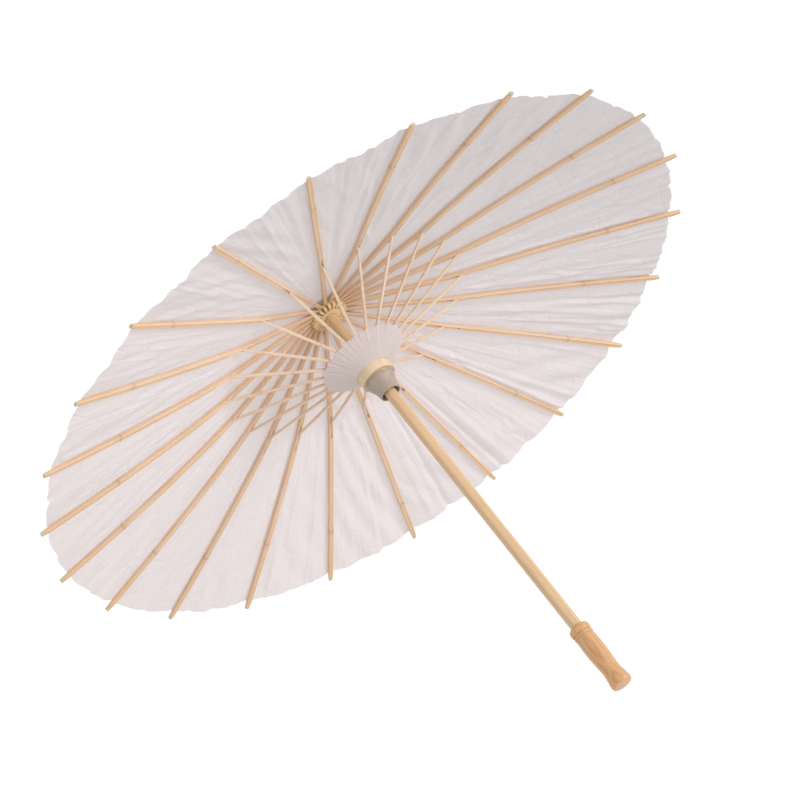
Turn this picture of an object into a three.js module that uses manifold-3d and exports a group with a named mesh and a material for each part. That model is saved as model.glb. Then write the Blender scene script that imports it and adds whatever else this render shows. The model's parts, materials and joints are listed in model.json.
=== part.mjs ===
// Oil paper umbrella (parasol), open on its catch.
// Millimetres. +Z runs up the pole, and the origin is the centre of the handle's end face.
//
// Every rib hangs on a wire ring in the top notch and carries a strut, and every strut is threaded
// on a second ring in the runner. Rib and strut are the same length from pivot to pivot and both
// rings have one radius, so the runner slides straight down the pole as the canopy folds.

import * as THREE from 'three';
import { mergeVertices } from 'three/addons/utils/BufferGeometryUtils.js';
import Module from 'manifold-3d';

const wasm = await Module();
wasm.setup();

// ---- Driving dimensions ----

const RIB_COUNT = 22;
const TIP_RADIUS = 300;
const PAPER_RADIUS = 292.5;
const RIM_Z = 337;

const PIVOT_RADIUS = 12;
const STRUT_LENGTH = 106;
const RUNNER_PIVOT_Z = 347.5;
const HALF_RISE = 29.9;
const JOINT_Z = RUNNER_PIVOT_Z + HALF_RISE;
const NOTCH_PIVOT_Z = JOINT_Z + HALF_RISE;
const JOINT_RADIUS = PIVOT_RADIUS + Math.sqrt(STRUT_LENGTH ** 2 - HALF_RISE ** 2);

const CLEARANCE = 0.3;
const WIRE_RADIUS = 0.4;
const WIRE_HOLE_RADIUS = WIRE_RADIUS + CLEARANCE;

const rib = {
  width: 4.2,
  neckWidth: 2.5,
  tongueWidth: 1.7,
  tongueLength: 7.6,
  headHalfDepth: 1.7,
  jointHalfDepth: 2.6,
  tipHalfDepth: 1.6,
  centreAbovePin: 1.5,
  slotWidth: 2.4,
  slotInward: 8,
  slotOutward: 26,
  pinHoleRadius: 0.8,
};

const strut = {
  width: 2.5,
  thickness: 2.4,
  innerTongueWidth: 1.7,
  innerTongueLength: 7,
  innerHeadRadius: 1.6,
  outerTongueWidth: 1.8,
  outerTongueLength: 20,
  pointLength: 3.2,
  pointWidth: 0.6,
  pinRadius: 0.45,
  pinHalfLength: 2.0,
};

const pole = { radius: 5, bottomZ: 22.5, topZ: 423 };
const POLE_BORE_RADIUS = pole.radius + CLEARANCE;
const HANDLE_HEIGHT = 58;

const hubSlot = { width: 2.3, innerRadius: 9.4, length: 20 };
const RING_CHANNEL_RADIUS = 0.84;
const notch = { radius: 16, bottomZ: NOTCH_PIVOT_Z - 5.8, topZ: NOTCH_PIVOT_Z + 6.7, chamfer: 1.5 };
const hub = {
  radius: 15,
  bottomZ: 330.5,
  topZ: 353.5,
  bossTopRadius: 11.2,
  bossBottomRadius: 9.5,
  bossBottomZ: 322,
};
const collar = { wideRadius: 12.9, narrowRadius: 9, topZ: 328.6, bottomZ: 312.5, wall: 0.9 };

const canopy = { thickness: 0.5, gapOverRib: 0.5, innerRadius: 17 };
const runnerPaper = { innerRadius: 15.7, innerZ: 338, outerRadius: 38.4, thickness: 0.5, gapUnderStrut: 0.4 };
const topCap = { thickness: 0.6, outerRadius: 27 };

const catchSpring = {
  azimuth: -68,
  slotWidth: 1.8,
  slotInnerRadius: -2,
  slotBottomZ: 286,
  slotTopZ: 326,
  width: 1.1,
  strip: 1,
  noseRadius: 7,
};

// ---- Materials ----

const material = (color, roughness, metalness = 0) =>
  new THREE.MeshStandardMaterial({ color, roughness, metalness });

const bamboo = material(0xdcae7c, 0.55);
const paleBamboo = material(0xe8cfae, 0.6);
const poleWood = material(0xe0b878, 0.5);
const handleWood = material(0xd99a5b, 0.45);
const hubWood = material(0xe6cf9f, 0.6);
const notchWood = material(0xa08b5c, 0.65);
const paper = material(0xf1ecec, 0.85);
const collarGrey = material(0xa79c92, 0.5);
const steel = material(0x6f6a62, 0.4, 0.9);

// ---- Geometry helpers ----

const asSolid = (geometry) => {
  const bare = geometry.index ? geometry.toNonIndexed() : geometry.clone();
  bare.deleteAttribute('normal');
  bare.deleteAttribute('uv');
  const merged = mergeVertices(bare, 1e-4);
  return new wasm.Manifold(new wasm.Mesh({
    numProp: 3,
    vertProperties: Float32Array.from(merged.attributes.position.array),
    triVerts: Uint32Array.from(merged.index.array),
  }));
};

const asGeometry = (solid) => {
  const mesh = solid.getMesh();
  const geometry = new THREE.BufferGeometry();
  geometry.setAttribute('position', new THREE.BufferAttribute(mesh.vertProperties, 3));
  geometry.setIndex(new THREE.BufferAttribute(mesh.triVerts, 1));
  return geometry;
};

const polygon = (points) => new THREE.Shape(points.map(([x, y]) => new THREE.Vector2(x, y)));

// A shape drawn in plan (x outward, y sideways), standing between two heights.
const planPrism = (shape, lowZ, highZ) =>
  new THREE.ExtrudeGeometry(shape, { depth: highZ - lowZ, bevelEnabled: false }).translate(0, 0, lowZ);

// A shape drawn from the side (x outward, y up), centred on the XZ plane.
const sidePrism = (shape, width) =>
  new THREE.ExtrudeGeometry(shape, { depth: width, bevelEnabled: false, curveSegments: 3 })
    .rotateX(Math.PI / 2)
    .translate(0, width / 2, 0);

// A ring or a solid turned about Z from a profile of [radius, height] points, first corner at +X.
const turned = (profile, segments) =>
  new THREE.LatheGeometry(profile.map(([r, z]) => new THREE.Vector2(r, z)), segments)
    .rotateX(Math.PI / 2)
    .rotateZ(Math.PI / 2);

const closedLoop = (profile) => [...profile, profile[0]];

const crossPin = (radius, length, x, z) =>
  new THREE.CylinderGeometry(radius, radius, length, 8).translate(x, 0, z);

const box = (sizeX, sizeY, sizeZ, x, y, z) =>
  new THREE.BoxGeometry(sizeX, sizeY, sizeZ).translate(x, y, z);

const azimuthOf = (index) => (index * 2 * Math.PI) / RIB_COUNT;

// A ring with one straight run for each rib, so that each head turns on a straight pin.
const ringGeometry = (tubeRadius, tubeSides, z) =>
  new THREE.TorusGeometry(PIVOT_RADIUS / Math.cos(Math.PI / RIB_COUNT), tubeRadius, tubeSides, RIB_COUNT)
    .rotateZ(Math.PI / RIB_COUNT)
    .translate(0, 0, z);

// ---- Rib ----

const RIB_JOINT_Z = JOINT_Z + rib.centreAbovePin;

// Height of the rib's top edge, where the paper lies, at a distance from the pole's axis.
const ribTopAt = (radius) => {
  const stations = [
    [PIVOT_RADIUS, NOTCH_PIVOT_Z + rib.headHalfDepth],
    [JOINT_RADIUS, RIB_JOINT_Z + rib.jointHalfDepth],
    [TIP_RADIUS, RIM_Z + rib.tipHalfDepth],
  ];
  const [start, end] = radius < JOINT_RADIUS ? stations.slice(0, 2) : stations.slice(1);
  return start[1] + ((radius - start[0]) / (end[0] - start[0])) * (end[1] - start[1]);
};

const makeRib = () => {
  const side = new THREE.Shape();
  side.moveTo(PIVOT_RADIUS, NOTCH_PIVOT_Z + rib.headHalfDepth);
  side.lineTo(JOINT_RADIUS, RIB_JOINT_Z + rib.jointHalfDepth);
  side.lineTo(TIP_RADIUS, RIM_Z + rib.tipHalfDepth);
  side.lineTo(TIP_RADIUS, RIM_Z - rib.tipHalfDepth);
  side.lineTo(JOINT_RADIUS, RIB_JOINT_Z - rib.jointHalfDepth);
  side.lineTo(PIVOT_RADIUS, NOTCH_PIVOT_Z - rib.headHalfDepth);
  side.absarc(PIVOT_RADIUS, NOTCH_PIVOT_Z, rib.headHalfDepth, -Math.PI / 2, Math.PI / 2, true);

  const headEnd = PIVOT_RADIUS - rib.headHalfDepth - 1;
  const tongueEnd = PIVOT_RADIUS + rib.tongueLength;
  const neckEnd = tongueEnd + 1.4;
  const halfOutline = [
    [headEnd, rib.tongueWidth / 2],
    [tongueEnd, rib.tongueWidth / 2],
    [neckEnd, rib.neckWidth / 2],
    [JOINT_RADIUS, rib.width / 2],
    [TIP_RADIUS + 1, rib.width / 2],
  ];
  const mirrored = halfOutline.map(([x, y]) => [x, -y]);
  const plan = polygon([...mirrored, ...halfOutline.reverse()]);

  const slotLength = rib.slotInward + rib.slotOutward;
  const slotCentre = JOINT_RADIUS + (rib.slotOutward - rib.slotInward) / 2;
  return asGeometry(
    asSolid(sidePrism(side, rib.width + 2))
      .intersect(asSolid(planPrism(plan, RIM_Z - 20, NOTCH_PIVOT_Z + 20)))
      .subtract(asSolid(box(slotLength, rib.slotWidth, 40, slotCentre, 0, JOINT_Z)))
      .subtract(asSolid(crossPin(WIRE_HOLE_RADIUS, 10, PIVOT_RADIUS, NOTCH_PIVOT_Z)))
      .subtract(asSolid(crossPin(rib.pinHoleRadius, 10, JOINT_RADIUS, JOINT_Z))),
  );
};

// ---- Strut ----

// Built lying along X from the runner's ring at the origin, then tilted up to the rib.
const makeStrut = () => {
  const half = strut.thickness / 2;
  const headRadius = strut.innerHeadRadius;
  const tip = STRUT_LENGTH + strut.pointLength;
  const headTangent = Math.asin(half / headRadius);

  const side = new THREE.Shape();
  side.moveTo(tip, half * 0.4);
  side.lineTo(STRUT_LENGTH, half);
  side.absarc(0, 0, headRadius, headTangent, 2 * Math.PI - headTangent, false);
  side.lineTo(STRUT_LENGTH, -half);
  side.lineTo(tip, -half * 0.4);

  const outerTongueStart = STRUT_LENGTH - strut.outerTongueLength;
  const halfOutline = [
    [-headRadius - 1, strut.innerTongueWidth / 2],
    [strut.innerTongueLength, strut.innerTongueWidth / 2],
    [strut.innerTongueLength + 1.2, strut.width / 2],
    [outerTongueStart - 2, strut.width / 2],
    [outerTongueStart, strut.outerTongueWidth / 2],
    [STRUT_LENGTH, strut.outerTongueWidth / 2],
    [tip, strut.pointWidth / 2],
  ];
  const mirrored = halfOutline.map(([x, y]) => [x, -y]);
  const plan = polygon([...mirrored, ...halfOutline.reverse()]);

  const tilt = Math.asin(HALF_RISE / STRUT_LENGTH);
  return asGeometry(
    asSolid(sidePrism(side, strut.width + 2))
      .intersect(asSolid(planPrism(plan, -10, 10)))
      .subtract(asSolid(crossPin(WIRE_HOLE_RADIUS, 10, 0, 0)))
      .add(asSolid(crossPin(strut.pinRadius, 2 * strut.pinHalfLength, STRUT_LENGTH, 0))),
  )
    .rotateY(-tilt)
    .translate(PIVOT_RADIUS, 0, RUNNER_PIVOT_Z);
};

// ---- Notch and runner ----

// Cuts one radial slot for each rib or strut, and the channel of the ring that they turn on.
const slotted = (solid, lowZ, highZ, ringZ) => {
  const { length, width, innerRadius } = hubSlot;
  let result = solid;
  for (let index = 0; index < RIB_COUNT; index += 1) {
    const slot = box(length, width, highZ - lowZ, innerRadius + length / 2, 0, (lowZ + highZ) / 2);
    result = result.subtract(asSolid(slot.rotateZ(azimuthOf(index))));
  }
  return result.subtract(asSolid(ringGeometry(RING_CHANNEL_RADIUS, 4, ringZ)));
};

const makeNotch = () => {
  const body = turned(closedLoop([
    [POLE_BORE_RADIUS, notch.bottomZ],
    [notch.radius - notch.chamfer, notch.bottomZ],
    [notch.radius, notch.bottomZ + notch.chamfer],
    [notch.radius, notch.topZ - 2 * notch.chamfer],
    [notch.radius - 3 * notch.chamfer, notch.topZ],
    [POLE_BORE_RADIUS, notch.topZ],
  ]), RIB_COUNT * 2);
  const slotTop = NOTCH_PIVOT_Z + rib.headHalfDepth + 0.7;
  return asGeometry(slotted(asSolid(body), notch.bottomZ - 5, slotTop, NOTCH_PIVOT_Z));
};

const makeHub = () => {
  const body = turned(closedLoop([
    [POLE_BORE_RADIUS, hub.bossBottomZ],
    [hub.bossBottomRadius, hub.bossBottomZ],
    [hub.bossTopRadius, hub.bottomZ],
    [hub.radius - 0.8, hub.bottomZ],
    [hub.radius, hub.bottomZ + 0.8],
    [hub.radius, hub.topZ - 1],
    [hub.radius - 1, hub.topZ],
    [POLE_BORE_RADIUS, hub.topZ],
  ]), RIB_COUNT * 2);
  const slotBottom = RUNNER_PIVOT_Z - strut.innerHeadRadius - 0.6;
  return asGeometry(slotted(asSolid(body), slotBottom, hub.topZ + 5, RUNNER_PIVOT_Z));
};

const makeCollar = () => turned(closedLoop([
  [collar.narrowRadius - collar.wall, collar.bottomZ],
  [collar.narrowRadius, collar.bottomZ],
  [collar.wideRadius, collar.topZ - 1],
  [collar.wideRadius, collar.topZ],
  [collar.wideRadius - collar.wall, collar.topZ],
]), 32);

// ---- Pole, catch, handle and finial ----

const makePole = () => {
  const shaft = turned([
    [0, pole.bottomZ],
    [pole.radius - 0.6, pole.bottomZ],
    [pole.radius, pole.bottomZ + 0.6],
    [pole.radius, pole.topZ - 0.6],
    [pole.radius - 0.6, pole.topZ],
    [0, pole.topZ],
  ], 28);
  const { slotInnerRadius, slotWidth, slotBottomZ, slotTopZ } = catchSpring;
  const depth = pole.radius + 2 - slotInnerRadius;
  const slot = box(
    depth, slotWidth, slotTopZ - slotBottomZ,
    slotInnerRadius + depth / 2, 0, (slotBottomZ + slotTopZ) / 2,
  ).rotateZ(THREE.MathUtils.degToRad(catchSpring.azimuth));
  return asGeometry(asSolid(shaft).subtract(asSolid(slot)));
};

// A bent strip: anchored low in the slot, sloping out to a nose that stops the runner.
const makeCatch = () => {
  const { strip, noseRadius, slotBottomZ } = catchSpring;
  const anchorZ = slotBottomZ + 3;
  const noseTopZ = hub.bossBottomZ - 0.6;
  const outline = polygon([
    [0.4, anchorZ],
    [0.4 + strip, anchorZ],
    [1.2 + strip, anchorZ + 12],
    [noseRadius, noseTopZ - 3.2],
    [noseRadius, noseTopZ],
    [1.6, noseTopZ],
    [1.6, noseTopZ - strip],
    [noseRadius - strip, noseTopZ - strip],
    [noseRadius - strip, noseTopZ - 2.8],
    [1.2, anchorZ + 12.4],
  ]);
  return sidePrism(outline, catchSpring.width)
    .rotateZ(THREE.MathUtils.degToRad(catchSpring.azimuth));
};

const makeHandle = () => turned([
  [0, 0],
  [7.4, 0],
  [8.3, 0.8],
  [8.6, 2.4],
  [8.3, 6],
  [7.4, 11],
  [7.1, 15],
  [7.4, 21],
  [7.9, 29],
  [8.1, 36],
  [7.9, 43],
  [7.6, 47.4],
  [7.2, 48.4],
  [8, 48.9],
  [8, 50.9],
  [7.2, 51.4],
  [8.3, 52.4],
  [8.5, 54.6],
  [7.9, 56.9],
  [6.6, HANDLE_HEIGHT],
  [POLE_BORE_RADIUS, HANDLE_HEIGHT],
  [POLE_BORE_RADIUS, pole.bottomZ - CLEARANCE],
  [0, pole.bottomZ - CLEARANCE],
], 24);

const makeFinial = () => {
  const bottomZ = pole.topZ - 4.5;
  return turned([
    [0, pole.topZ + CLEARANCE],
    [POLE_BORE_RADIUS, pole.topZ + CLEARANCE],
    [POLE_BORE_RADIUS, bottomZ],
    [8.2, bottomZ],
    [8.6, bottomZ + 1.2],
    [8.2, bottomZ + 2.6],
    [6.8, bottomZ + 4],
    [6.4, bottomZ + 7],
    [5.4, bottomZ + 11],
    [3.6, bottomZ + 14],
    [1.6, bottomZ + 15.4],
    [0, bottomZ + 15.8],
  ], 20);
};

// ---- Paper ----

const makeCanopy = () => {
  const stations = [canopy.innerRadius, JOINT_RADIUS, PAPER_RADIUS];
  const under = stations.map((r) => [r, ribTopAt(r) + canopy.gapOverRib]);
  const over = under.map(([r, z]) => [r, z + canopy.thickness]).reverse();
  return turned(closedLoop([...under, ...over]), RIB_COUNT);
};

const makeRunnerPaper = () => {
  const { innerRadius, innerZ, outerRadius, gapUnderStrut, thickness } = runnerPaper;
  const slope = HALF_RISE / (JOINT_RADIUS - PIVOT_RADIUS);
  const drop = strut.thickness / 2 / Math.cos(Math.atan(slope)) + gapUnderStrut;
  const outerZ = RUNNER_PIVOT_Z + (outerRadius - PIVOT_RADIUS) * slope - drop;
  const over = [[outerRadius, outerZ], [innerRadius, innerZ]];
  const under = over.map(([r, z]) => [r, z - thickness]).reverse();
  return turned(closedLoop([...over, ...under]), RIB_COUNT);
};

const makeTopCap = () => {
  const rimZ = ribTopAt(topCap.outerRadius) + canopy.gapOverRib + canopy.thickness + 0.4;
  const under = [
    [POLE_BORE_RADIUS + 0.1, notch.topZ + 0.5],
    [notch.radius - 3 * notch.chamfer, notch.topZ + 0.5],
    [notch.radius + 0.8, notch.topZ - 2 * notch.chamfer],
    [topCap.outerRadius, rimZ],
  ];
  const over = under.map(([r, z]) => [r, z + topCap.thickness]).reverse();
  return turned(closedLoop([...under, ...over]), RIB_COUNT);
};

// ---- Assembly ----

const umbrella = new THREE.Group();

const addPart = (name, geometry, partMaterial, azimuth = 0) => {
  const mesh = new THREE.Mesh(geometry, partMaterial);
  mesh.name = name;
  mesh.rotation.z = azimuth;
  umbrella.add(mesh);
};

const numbered = (name, index) => `${name}_${String(index + 1).padStart(2, '0')}`;

const ribGeometry = makeRib();
const strutGeometry = makeStrut();
for (let index = 0; index < RIB_COUNT; index += 1) {
  addPart(numbered('rib', index), ribGeometry, bamboo, azimuthOf(index));
  addPart(numbered('strut', index), strutGeometry, paleBamboo, azimuthOf(index));
}

addPart('pole', makePole(), poleWood);
addPart('handle', makeHandle(), handleWood);
addPart('finial', makeFinial(), handleWood);
addPart('top_notch', makeNotch(), notchWood);
addPart('notch_ring', ringGeometry(WIRE_RADIUS, 6, NOTCH_PIVOT_Z), steel);
addPart('top_cap', makeTopCap(), paper);
addPart('canopy_paper', makeCanopy(), paper);
addPart('runner_hub', makeHub(), hubWood);
addPart('runner_ring', ringGeometry(WIRE_RADIUS, 6, RUNNER_PIVOT_Z), steel);
addPart('runner_collar', makeCollar(), collarGrey);
addPart('runner_paper', makeRunnerPaper(), paper);
addPart('catch_spring', makeCatch(), steel);

export default umbrella;
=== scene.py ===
"""Oil paper umbrella: the looks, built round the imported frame.

Metres, in the row frame: +Z runs up the pole, and the origin is the centre of the handle's end face.
"""

import itertools
import json
import random
from math import atan2, cos, dist, hypot, pi, radians, sin

import bmesh
import bpy
import numpy as np
from mathutils import Matrix, Vector, noise

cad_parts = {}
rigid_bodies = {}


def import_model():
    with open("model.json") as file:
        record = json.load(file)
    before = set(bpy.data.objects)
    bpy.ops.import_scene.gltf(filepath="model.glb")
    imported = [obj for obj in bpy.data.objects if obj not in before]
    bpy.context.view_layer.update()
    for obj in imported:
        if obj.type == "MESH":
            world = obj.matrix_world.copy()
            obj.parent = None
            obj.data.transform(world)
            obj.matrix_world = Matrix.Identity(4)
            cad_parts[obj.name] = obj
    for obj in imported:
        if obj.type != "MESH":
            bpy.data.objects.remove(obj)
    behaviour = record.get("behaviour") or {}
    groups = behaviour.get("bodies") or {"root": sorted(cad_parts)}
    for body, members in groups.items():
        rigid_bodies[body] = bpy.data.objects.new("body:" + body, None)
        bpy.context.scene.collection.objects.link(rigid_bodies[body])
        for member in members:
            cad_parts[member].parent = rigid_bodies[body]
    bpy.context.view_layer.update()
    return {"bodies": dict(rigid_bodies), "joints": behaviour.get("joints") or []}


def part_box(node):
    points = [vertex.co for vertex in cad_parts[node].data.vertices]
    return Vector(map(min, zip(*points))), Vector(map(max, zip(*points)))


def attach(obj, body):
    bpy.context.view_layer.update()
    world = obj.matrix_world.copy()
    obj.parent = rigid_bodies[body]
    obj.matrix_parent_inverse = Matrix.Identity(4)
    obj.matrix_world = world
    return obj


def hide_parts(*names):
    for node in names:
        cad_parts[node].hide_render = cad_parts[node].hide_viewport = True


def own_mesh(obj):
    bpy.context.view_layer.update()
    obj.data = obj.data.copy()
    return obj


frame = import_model()

MM = 0.001

# ---- Sizes taken from the frame ----

JOINTS = {joint["name"]: joint for joint in frame["joints"]}
RIB_COUNT = sum(name.startswith("rib_") for name in frame["bodies"])
GORE_ANGLE = 2 * pi / RIB_COUNT
HALF_GORE = GORE_ANGLE / 2

notch_pivot = Vector(JOINTS["canopy_fold"]["pos_m"])
rib_joint = Vector(JOINTS["strut_hinge_01"]["pos_m"])
runner_pivot = Vector(JOINTS["runner_hinge"]["pos_m"])
PIVOT_RADIUS = notch_pivot.x
NOTCH_Z = notch_pivot.z
JOINT_RADIUS = rib_joint.x
JOINT_Z = rib_joint.z
RUNNER_Z = runner_pivot.z
STRUT_LENGTH = (rib_joint - runner_pivot).length
STRUT_SLOPE = (JOINT_Z - RUNNER_Z) / (JOINT_RADIUS - PIVOT_RADIUS)

rib_low, rib_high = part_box("rib_01")
disc_low, disc_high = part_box("runner_paper")
hub_low, hub_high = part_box("runner_hub")
collar_low, collar_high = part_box("runner_collar")
pole_low, pole_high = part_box("pole")
handle_low, handle_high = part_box("handle")
notch_low, notch_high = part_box("top_notch")
finial_low, finial_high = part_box("finial")
cap_low, cap_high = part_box("top_cap")
catch_low, catch_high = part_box("catch_spring")

# Radii are measured from the pole's axis, for a rib or strut that points along +X.
TIP_RADIUS = rib_high.x
PAPER_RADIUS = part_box("canopy_paper")[1].x
PAPER_INNER_RADIUS = 17 * MM
POLE_RADIUS = pole_high.x
BORE_RADIUS = POLE_RADIUS + 0.3 * MM
CATCH_AZIMUTH = atan2(catch_low.y + catch_high.y, catch_low.x + catch_high.x)

# A rib's half depths at its head, its joint and its tip.
HEAD_HALF_DEPTH = 1.7 * MM
JOINT_HALF_DEPTH = 2.0 * MM
TIP_HALF_DEPTH = 1.6 * MM
RIB_HALF_WIDTH = 2.1 * MM
RIB_SLOT_START = JOINT_RADIUS - 8 * MM
RIB_SLOT_END = JOINT_RADIUS + 16 * MM
JOINT_CENTRE_Z = JOINT_Z + 0.95 * MM
STRUT_HALF_THICKNESS = 1.0 * MM
TIP_CENTRE_Z = rib_low.z + TIP_HALF_DEPTH
PAPER_GAP = 0.35 * MM

# The wires that the ribs and struts turn on, their pins, and the holes for both.
WIRE_RADIUS = 0.4 * MM
WIRE_CHANNEL_RADIUS = 0.84 * MM
WIRE_HOLE_RADIUS = 0.7 * MM
PIN_RADIUS = 0.45 * MM
PIN_HALF_LENGTH = 1.7 * MM
PIN_HOLE_RADIUS = 0.6 * MM

# The side of the canopy with the deepest creases, and the side where painted shade makes the paper darker and
# cooler.
CREASED_AZIMUTH = radians(130)
SHADED_SIDE_AZIMUTH = radians(85)


def mix(a, b, t):
    """The value or colour that is a share t of the way from a to b."""
    if isinstance(a, tuple):
        return tuple(mix(x, y, t) for x, y in zip(a, b))
    return a + (b - a) * t


def smoothstep(t):
    t = np.clip(t, 0.0, 1.0)
    return t * t * (3 - 2 * t)


def tent(t):
    return np.maximum(0.0, 1.0 - np.abs(t))


def stepped(x, stations):
    """The piecewise straight value at x through [(x, value), ...]."""
    return np.interp(x, [s[0] for s in stations], [s[1] for s in stations])


def rib_centre_z(radius):
    return stepped(radius, [
        (PIVOT_RADIUS, NOTCH_Z), (JOINT_RADIUS, JOINT_CENTRE_Z), (TIP_RADIUS, TIP_CENTRE_Z)])


def rib_half_depth(radius):
    return stepped(radius, [
        (PIVOT_RADIUS, HEAD_HALF_DEPTH), (JOINT_RADIUS, JOINT_HALF_DEPTH), (TIP_RADIUS, TIP_HALF_DEPTH)])


def paper_z(radius):
    return rib_centre_z(radius) + rib_half_depth(radius) + PAPER_GAP


# An old umbrella has settled out of true, by two waves round the pole for the lean of its ribs and two
# for the lift of their tips. A wave is (size, crests in a turn, azimuth of a crest).
LEAN_START = 20 * MM
LEAN_WAVES = ((0.032, 1, radians(251)), (0.016, 2, radians(104)))
LIFT_WAVES = ((10.4 * MM, 1, radians(294)), (2.7 * MM, 2, radians(121)))
LIFT_CURVE = 1.6


def lean(azimuth):
    """The angle that a rib is turned about the pole from its even place."""
    return sum(size * np.cos(crests * (azimuth - crest)) for size, crests, crest in LEAN_WAVES)


def lift(azimuth):
    """How far a rib's tip stands above the level of an even rim."""
    return sum(size * np.cos(crests * (azimuth - crest)) for size, crests, crest in LIFT_WAVES)


def polar(radius, azimuth, z):
    """Points (x, y, z) as rows, from arrays of one shape."""
    return np.stack([radius * np.cos(azimuth), radius * np.sin(azimuth), z], axis=-1).reshape(-1, 3)


def settle(points, rib_azimuth=None):
    """Moves points of the even shape to the settled one. Points of one rib or strut share its azimuth.

    The lean grows from LEAN_START outward, and the lift from the end of the ribs' slots to their tips.
    """
    x, y, z = np.asarray(points, float).T
    radius = np.hypot(x, y)
    azimuth = np.arctan2(y, x)
    shared = azimuth if rib_azimuth is None else np.full(len(radius), rib_azimuth)
    outer = np.clip((radius - RIB_SLOT_END) / (TIP_RADIUS - RIB_SLOT_END), 0, 1)
    turned_to = azimuth + lean(shared) * np.maximum(0, 1 - LEAN_START / radius)
    return polar(radius, turned_to, z + lift(shared) * outer ** LIFT_CURVE)


def numbered(name, index):
    return f"{name}_{index % RIB_COUNT + 1:02d}"


# ---- Helpers for nodes and objects ----

class Nodes:
    """A short way to write a node tree: a call adds nodes and gives the last one's output socket."""

    # A Mix node's colour sockets, by number: its number and vector sockets have the same names.
    MIX_FACTOR, MIX_A, MIX_B, MIX_RESULT = 0, 6, 7, 2

    def __init__(self, owner):
        """The owner is a material or a world. Only a material has a shader to finish."""
        owner.use_nodes = True
        self.owner = owner
        self.tree = owner.node_tree
        self.shader = self.tree.nodes.get("Principled BSDF")

    def set(self, socket, value):
        if isinstance(value, bpy.types.NodeSocket):
            self.tree.links.new(value, socket)
        elif isinstance(value, tuple) and socket.type == "RGBA":
            socket.default_value = (*value, 1.0)
        else:
            socket.default_value = value

    def add(self, kind, inputs=None, output=0, **settings):
        node = self.tree.nodes.new("ShaderNode" + kind)
        for key, value in settings.items():
            setattr(node, key, value)
        for key, value in (inputs or {}).items():
            self.set(node.inputs[key], value)
        return node.outputs[output]

    def place(self):
        return self.add("TexCoord", output="Object")

    def uv(self):
        return self.add("TexCoord", output="UV")

    def attribute(self, name):
        return self.add("Attribute", output="Fac", attribute_name=name)

    def scaled(self, vector, scale, shift=(0.0, 0.0, 0.0)):
        return self.add("Mapping", {"Vector": vector, "Scale": scale, "Location": shift})

    def grain(self, vector, scale, shift=(0.0, 0.0, 0.0), **settings):
        """Noise drawn out by a scale for each axis."""
        return self.noise(self.scaled(vector, scale, shift), **settings)

    def noise(self, vector, scale=1.0, detail=4.0, roughness=0.55, distortion=0.0):
        return self.add("TexNoise", {
            "Vector": vector, "Scale": scale, "Detail": detail, "Roughness": roughness,
            "Distortion": distortion})

    def ramp(self, factor, stops):
        node = self.tree.nodes.new("ShaderNodeValToRGB")
        self.tree.links.new(factor, node.inputs["Fac"])
        elements = node.color_ramp.elements
        while len(elements) < len(stops):
            elements.new(0.5)
        for element, (position, shade) in zip(elements, stops):
            colour = (shade,) * 3 if isinstance(shade, float) else shade
            element.position = position
            element.color = (*colour, 1.0)
        return node.outputs["Color"]

    def range(self, value, low, high, to_low=0.0, to_high=1.0):
        return self.add("MapRange", {
            "Value": value, "From Min": low, "From Max": high, "To Min": to_low, "To Max": to_high})

    def math(self, operation, a, b=0.0):
        return self.add("Math", {0: a, 1: b}, operation=operation)

    def total(self, *terms):
        """The sum of (socket, weight) pairs."""
        result = 0.0
        for socket, weight in terms:
            result = self.math("ADD", self.math("MULTIPLY", socket, weight), result)
        return result

    def blend(self, factor, a, b):
        inputs = {self.MIX_FACTOR: factor, self.MIX_A: a, self.MIX_B: b}
        return self.add("Mix", inputs, self.MIX_RESULT, data_type="RGBA")

    def tinted(self, colour, value, low, high, share, tint):
        """A colour of which a share turns to the tint as the value runs from low to high."""
        return self.blend(self.range(value, low, high, 0.0, share), colour, tint)

    def axis(self, vector, name):
        return self.add("SeparateXYZ", {"Vector": vector}, output=name)

    def bump(self, height, strength, distance):
        return self.add("Bump", {"Height": height, "Strength": strength, "Distance": distance})

    def along(self, vector, direction):
        """How far a vector reaches in a direction."""
        return self.add("VectorMath", {0: vector, 1: direction}, "Value", operation="DOT_PRODUCT")

    def finish(self, inputs):
        for key, value in inputs.items():
            self.set(self.shader.inputs[key], value)
        return self.owner


def material_nodes(name):
    return Nodes(bpy.data.materials.new(name))


def add_object(name, data):
    new_object = bpy.data.objects.new(name, data)
    bpy.context.scene.collection.objects.link(new_object)
    return new_object


# ---- Camera, light and floor ----

def make_camera():
    """Looks up at the open canopy from below its rim, with the pole leaning to the right."""
    azimuth = radians(21.03)
    elevation = radians(-27.23)
    roll = radians(-38.59)
    distance = 2.054
    aim = Vector((0.017, 0.009, 0.293))
    towards_camera = Vector((
        cos(azimuth) * cos(elevation),
        sin(azimuth) * cos(elevation),
        sin(elevation),
    ))
    data = bpy.data.cameras.new("camera")
    data.lens = 117.0
    camera = add_object("camera", data)
    camera.location = aim + towards_camera * distance
    upright = (-towards_camera).to_track_quat("-Z", "Y").to_matrix()
    camera.rotation_euler = (upright @ Matrix.Rotation(roll, 3, "Z")).to_euler()
    bpy.context.scene.camera = camera


def area_light(name, location, target, size, power, colour):
    data = bpy.data.lights.new(name, "AREA")
    data.shape = "DISK"
    data.size = size
    data.energy = power
    data.color = colour
    light = add_object(name, data)
    light.location = location
    light.rotation_euler = (Vector(target) - Vector(location)).to_track_quat("-Z", "Y").to_euler()


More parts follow.
